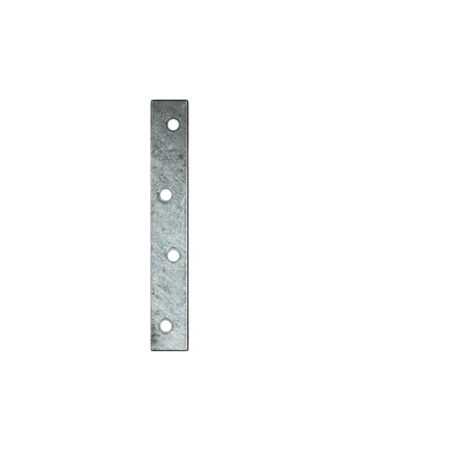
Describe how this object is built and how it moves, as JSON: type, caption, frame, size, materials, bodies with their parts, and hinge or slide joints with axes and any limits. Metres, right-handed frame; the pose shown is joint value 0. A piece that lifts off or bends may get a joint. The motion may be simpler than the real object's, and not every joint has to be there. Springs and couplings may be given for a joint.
{
  "type": "mending plate",
  "caption": "Flat rectangular zinc-plated steel mending plate with a zigzag row of countersunk screw holes, for joining boards.",
  "frame": {"origin": "centre of the back face, under the middle of the plate", "axes": "+Y along the length, +X across the width, +Z out of the countersunk front face; the plate lies on its back"},
  "size_m": [0.0154, 0.1016, 0.002],
  "materials": {
    "zinc_plated_steel": "bright zinc plating, slightly dull and scuffed from tumbling, unevenly darkened"
  },
  "bodies": {
    "root": {"mending_plate": "zinc_plated_steel"}
  },
  "joints": []
}
